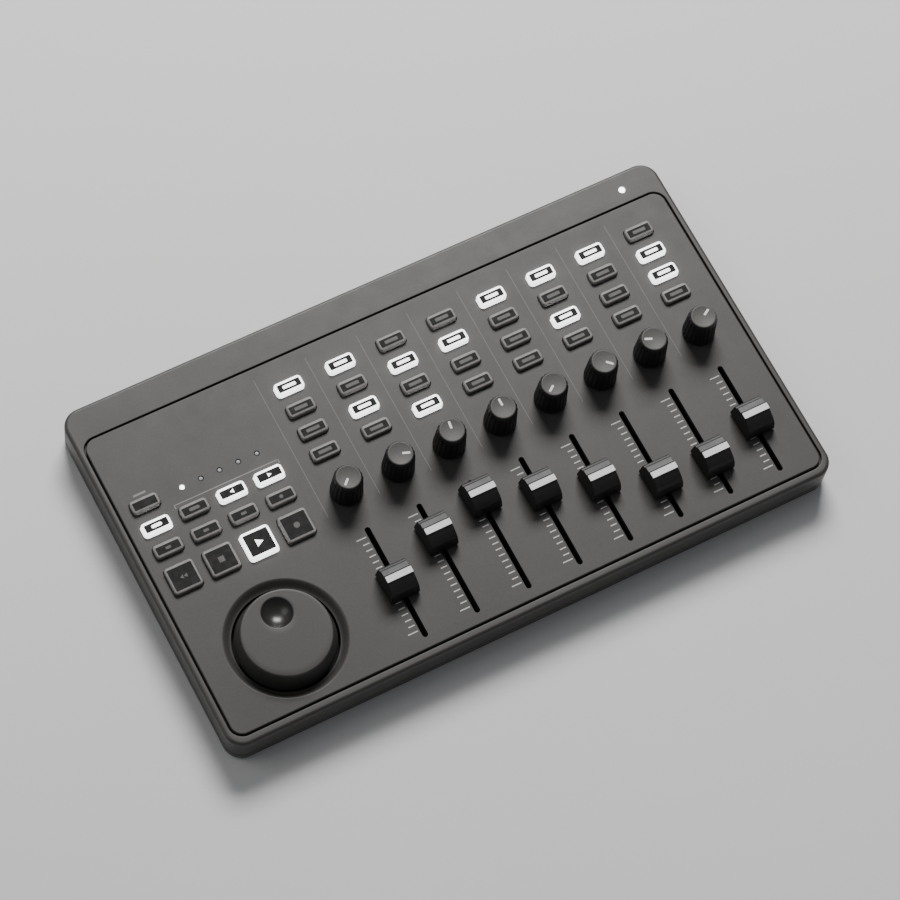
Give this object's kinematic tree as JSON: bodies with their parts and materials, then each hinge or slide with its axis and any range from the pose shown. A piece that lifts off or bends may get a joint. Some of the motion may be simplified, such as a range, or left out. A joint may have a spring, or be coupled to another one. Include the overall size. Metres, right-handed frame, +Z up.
{
  "type": "desktop control desk",
  "caption": "Flat rectangular desktop control desk with a column of keys, a knob and a fader per channel, transport keys and a jog wheel at the left.",
  "frame": {"origin": "under the middle of the case's footprint, on the surface that the two rubber feet rest on", "axes": "+X to the user's right along the case's width, +Y away from the user towards the rear edge, +Z up out of the control panel"},
  "size_m": [0.278, 0.16, 0.033],
  "materials": {
    "case_plastic": "fine moulded grain, dark charcoal",
    "panel_plastic": "fine matte moulded grain, warm charcoal",
    "cap_plastic": "satin black moulding",
    "knob_plastic": "satin black moulding",
    "key_silicone": "translucent milky silicone, painted dark on top, lit from below",
    "lens_plastic": "clear frosted light guide",
    "board_laminate": "solder-masked board with black and grey components",
    "battery_wrap": "printed plastic sleeve, left plain",
    "plated_steel": "bright plated steel",
    "foot_rubber": "soft black rubber"
  },
  "bodies": {
    "chassis": {"top_case": "case_plastic", "bottom_case": "case_plastic", "control_panel": "panel_plastic", "scene_lamps": "lens_plastic", "power_lamp": "lens_plastic", "main_board": "board_laminate", "key_board": "board_laminate", "battery_1": "battery_wrap", "battery_2": "battery_wrap", "battery_contact_left": "plated_steel", "battery_contact_right": "plated_steel", "usb_socket": "plated_steel", "jog_encoder": "plated_steel", "case_screw_1": "plated_steel", "case_screw_2": "plated_steel", "case_screw_3": "plated_steel", "case_screw_4": "plated_steel", "front_foot": "foot_rubber", "rear_foot": "foot_rubber"},
    "channel_1_keys": {"channel_1_keys": "key_silicone"},
    "channel_2_keys": {"channel_2_keys": "key_silicone"},
    "channel_3_keys": {"channel_3_keys": "key_silicone"},
    "channel_4_keys": {"channel_4_keys": "key_silicone"},
    "channel_5_keys": {"channel_5_keys": "key_silicone"},
    "channel_6_keys": {"channel_6_keys": "key_silicone"},
    "channel_7_keys": {"channel_7_keys": "key_silicone"},
    "channel_8_keys": {"channel_8_keys": "key_silicone"},
    "scene_key": {"scene_key": "key_silicone"},
    "track_back_key": {"track_back_key": "key_silicone"},
    "marker_set_key": {"marker_set_key": "key_silicone"},
    "marker_back_key": {"marker_back_key": "key_silicone"},
    "marker_next_key": {"marker_next_key": "key_silicone"},
    "track_next_key": {"track_next_key": "key_silicone"},
    "cycle_key": {"cycle_key": "key_silicone"},
    "shift_key": {"shift_key": "key_silicone"},
    "tap_key": {"tap_key": "key_silicone"},
    "rewind_key": {"rewind_key": "key_silicone"},
    "stop_key": {"stop_key": "key_silicone"},
    "play_key": {"play_key": "key_silicone"},
    "record_key": {"record_key": "key_silicone"},
    "knob_1": {"knob_1": "knob_plastic"},
    "knob_2": {"knob_2": "knob_plastic"},
    "knob_3": {"knob_3": "knob_plastic"},
    "knob_4": {"knob_4": "knob_plastic"},
    "knob_5": {"knob_5": "knob_plastic"},
    "knob_6": {"knob_6": "knob_plastic"},
    "knob_7": {"knob_7": "knob_plastic"},
    "knob_8": {"knob_8": "knob_plastic"},
    "fader_1": {"fader_1": "cap_plastic"},
    "fader_2": {"fader_2": "cap_plastic"},
    "fader_3": {"fader_3": "cap_plastic"},
    "fader_4": {"fader_4": "cap_plastic"},
    "fader_5": {"fader_5": "cap_plastic"},
    "fader_6": {"fader_6": "cap_plastic"},
    "fader_7": {"fader_7": "cap_plastic"},
    "fader_8": {"fader_8": "cap_plastic"},
    "jog_wheel": {"jog_wheel": "panel_plastic"},
    "power_switch": {"power_switch": "knob_plastic"},
    "battery_door": {"battery_door": "case_plastic"}
  },
  "joints": [
    {"name": "fader_1_slide", "type": "slide", "parent": "chassis", "child": "fader_1", "axis": [0, 1, 0], "range_m": [-0.0215, 0.0235]},
    {"name": "fader_2_slide", "type": "slide", "parent": "chassis", "child": "fader_2", "axis": [0, 1, 0], "range_m": [-0.033, 0.012]},
    {"name": "fader_3_slide", "type": "slide", "parent": "chassis", "child": "fader_3", "axis": [0, 1, 0], "range_m": [-0.0395, 0.0055]},
    {"name": "fader_4_slide", "type": "slide", "parent": "chassis", "child": "fader_4", "axis": [0, 1, 0], "range_m": [-0.0315, 0.0135]},
    {"name": "fader_5_slide", "type": "slide", "parent": "chassis", "child": "fader_5", "axis": [0, 1, 0], "range_m": [-0.0245, 0.0205]},
    {"name": "fader_6_slide", "type": "slide", "parent": "chassis", "child": "fader_6", "axis": [0, 1, 0], "range_m": [-0.0145, 0.0305]},
    {"name": "fader_7_slide", "type": "slide", "parent": "chassis", "child": "fader_7", "axis": [0, 1, 0], "range_m": [-0.013, 0.032]},
    {"name": "fader_8_slide", "type": "slide", "parent": "chassis", "child": "fader_8", "axis": [0, 1, 0], "range_m": [-0.021, 0.024]},
    {"name": "knob_1_turn", "type": "hinge", "parent": "chassis", "child": "knob_1", "pos_m": [-0.0483, -0.0008, 0.033], "axis": [0, 0, 1], "range_deg": [-283, 17]},
    {"name": "knob_2_turn", "type": "hinge", "parent": "chassis", "child": "knob_2", "pos_m": [-0.02462, -0.0008, 0.033], "axis": [0, 0, 1], "range_deg": [-40, 260]},
    {"name": "knob_3_turn", "type": "hinge", "parent": "chassis", "child": "knob_3", "pos_m": [-0.00094, -0.0008, 0.033], "axis": [0, 0, 1], "range_deg": [-142, 158]},
    {"name": "knob_4_turn", "type": "hinge", "parent": "chassis", "child": "knob_4", "pos_m": [0.02274, -0.0008, 0.033], "axis": [0, 0, 1], "range_deg": [-150, 150]},
    {"name": "knob_5_turn", "type": "hinge", "parent": "chassis", "child": "knob_5", "pos_m": [0.04642, -0.0008, 0.033], "axis": [0, 0, 1], "range_deg": [-275, 25]},
    {"name": "knob_6_turn", "type": "hinge", "parent": "chassis", "child": "knob_6", "pos_m": [0.0701, -0.0008, 0.033], "axis": [0, 0, 1], "range_deg": [-16, 284]},
    {"name": "knob_7_turn", "type": "hinge", "parent": "chassis", "child": "knob_7", "pos_m": [0.09378, -0.0008, 0.033], "axis": [0, 0, 1], "range_deg": [-217, 83]},
    {"name": "knob_8_turn", "type": "hinge", "parent": "chassis", "child": "knob_8", "pos_m": [0.11746, -0.0008, 0.033], "axis": [0, 0, 1], "range_deg": [-90, 210]},
    {"name": "jog_wheel_turn", "type": "hinge", "parent": "chassis", "child": "jog_wheel", "pos_m": [-0.0989, -0.0467, 0.0245], "axis": [0, 0, 1], "continuous": true},
    {"name": "channel_1_keys_press", "type": "slide", "parent": "chassis", "child": "channel_1_keys", "axis": [0, 0, -1], "range_m": [0, 0.001], "stiffness_N_per_m": 600, "springref_m": -0.001},
    {"name": "channel_2_keys_press", "type": "slide", "parent": "chassis", "child": "channel_2_keys", "axis": [0, 0, -1], "range_m": [0, 0.001], "stiffness_N_per_m": 600, "springref_m": -0.001},
    {"name": "channel_3_keys_press", "type": "slide", "parent": "chassis", "child": "channel_3_keys", "axis": [0, 0, -1], "range_m": [0, 0.001], "stiffness_N_per_m": 600, "springref_m": -0.001},
    {"name": "channel_4_keys_press", "type": "slide", "parent": "chassis", "child": "channel_4_keys", "axis": [0, 0, -1], "range_m": [0, 0.001], "stiffness_N_per_m": 600, "springref_m": -0.001},
    {"name": "channel_5_keys_press", "type": "slide", "parent": "chassis", "child": "channel_5_keys", "axis": [0, 0, -1], "range_m": [0, 0.001], "stiffness_N_per_m": 600, "springref_m": -0.001},
    {"name": "channel_6_keys_press", "type": "slide", "parent": "chassis", "child": "channel_6_keys", "axis": [0, 0, -1], "range_m": [0, 0.001], "stiffness_N_per_m": 600, "springref_m": -0.001},
    {"name": "channel_7_keys_press", "type": "slide", "parent": "chassis", "child": "channel_7_keys", "axis": [0, 0, -1], "range_m": [0, 0.001], "stiffness_N_per_m": 600, "springref_m": -0.001},
    {"name": "channel_8_keys_press", "type": "slide", "parent": "chassis", "child": "channel_8_keys", "axis": [0, 0, -1], "range_m": [0, 0.001], "stiffness_N_per_m": 600, "springref_m": -0.001},
    {"name": "scene_key_press", "type": "slide", "parent": "chassis", "child": "scene_key", "axis": [0, 0, -1], "range_m": [0, 0.001], "stiffness_N_per_m": 300, "springref_m": -0.001},
    {"name": "track_back_key_press", "type": "slide", "parent": "chassis", "child": "track_back_key", "axis": [0, 0, -1], "range_m": [0, 0.001], "stiffness_N_per_m": 300, "springref_m": -0.001},
    {"name": "marker_set_key_press", "type": "slide", "parent": "chassis", "child": "marker_set_key", "axis": [0, 0, -1], "range_m": [0, 0.001], "stiffness_N_per_m": 300, "springref_m": -0.001},
    {"name": "marker_back_key_press", "type": "slide", "parent": "chassis", "child": "marker_back_key", "axis": [0, 0, -1], "range_m": [0, 0.001], "stiffness_N_per_m": 300, "springref_m": -0.001},
    {"name": "marker_next_key_press", "type": "slide", "parent": "chassis", "child": "marker_next_key", "axis": [0, 0, -1], "range_m": [0, 0.001], "stiffness_N_per_m": 300, "springref_m": -0.001},
    {"name": "track_next_key_press", "type": "slide", "parent": "chassis", "child": "track_next_key", "axis": [0, 0, -1], "range_m": [0, 0.001], "stiffness_N_per_m": 300, "springref_m": -0.001},
    {"name": "cycle_key_press", "type": "slide", "parent": "chassis", "child": "cycle_key", "axis": [0, 0, -1], "range_m": [0, 0.001], "stiffness_N_per_m": 300, "springref_m": -0.001},
    {"name": "shift_key_press", "type": "slide", "parent": "chassis", "child": "shift_key", "axis": [0, 0, -1], "range_m": [0, 0.001], "stiffness_N_per_m": 300, "springref_m": -0.001},
    {"name": "tap_key_press", "type": "slide", "parent": "chassis", "child": "tap_key", "axis": [0, 0, -1], "range_m": [0, 0.001], "stiffness_N_per_m": 300, "springref_m": -0.001},
    {"name": "rewind_key_press", "type": "slide", "parent": "chassis", "child": "rewind_key", "axis": [0, 0, -1], "range_m": [0, 0.001], "stiffness_N_per_m": 300, "springref_m": -0.001},
    {"name": "stop_key_press", "type": "slide", "parent": "chassis", "child": "stop_key", "axis": [0, 0, -1], "range_m": [0, 0.001], "stiffness_N_per_m": 300, "springref_m": -0.001},
    {"name": "play_key_press", "type": "slide", "parent": "chassis", "child": "play_key", "axis": [0, 0, -1], "range_m": [0, 0.001], "stiffness_N_per_m": 300, "springref_m": -0.001},
    {"name": "record_key_press", "type": "slide", "parent": "chassis", "child": "record_key", "axis": [0, 0, -1], "range_m": [0, 0.001], "stiffness_N_per_m": 300, "springref_m": -0.001},
    {"name": "power_switch_slide", "type": "slide", "parent": "chassis", "child": "power_switch", "axis": [-1, 0, 0], "range_m": [0, 0.0054]},
    {"name": "battery_door_slide", "type": "slide", "parent": "chassis", "child": "battery_door", "axis": [0, 1, 0], "range_m": [0, 0.02]}
  ]
}
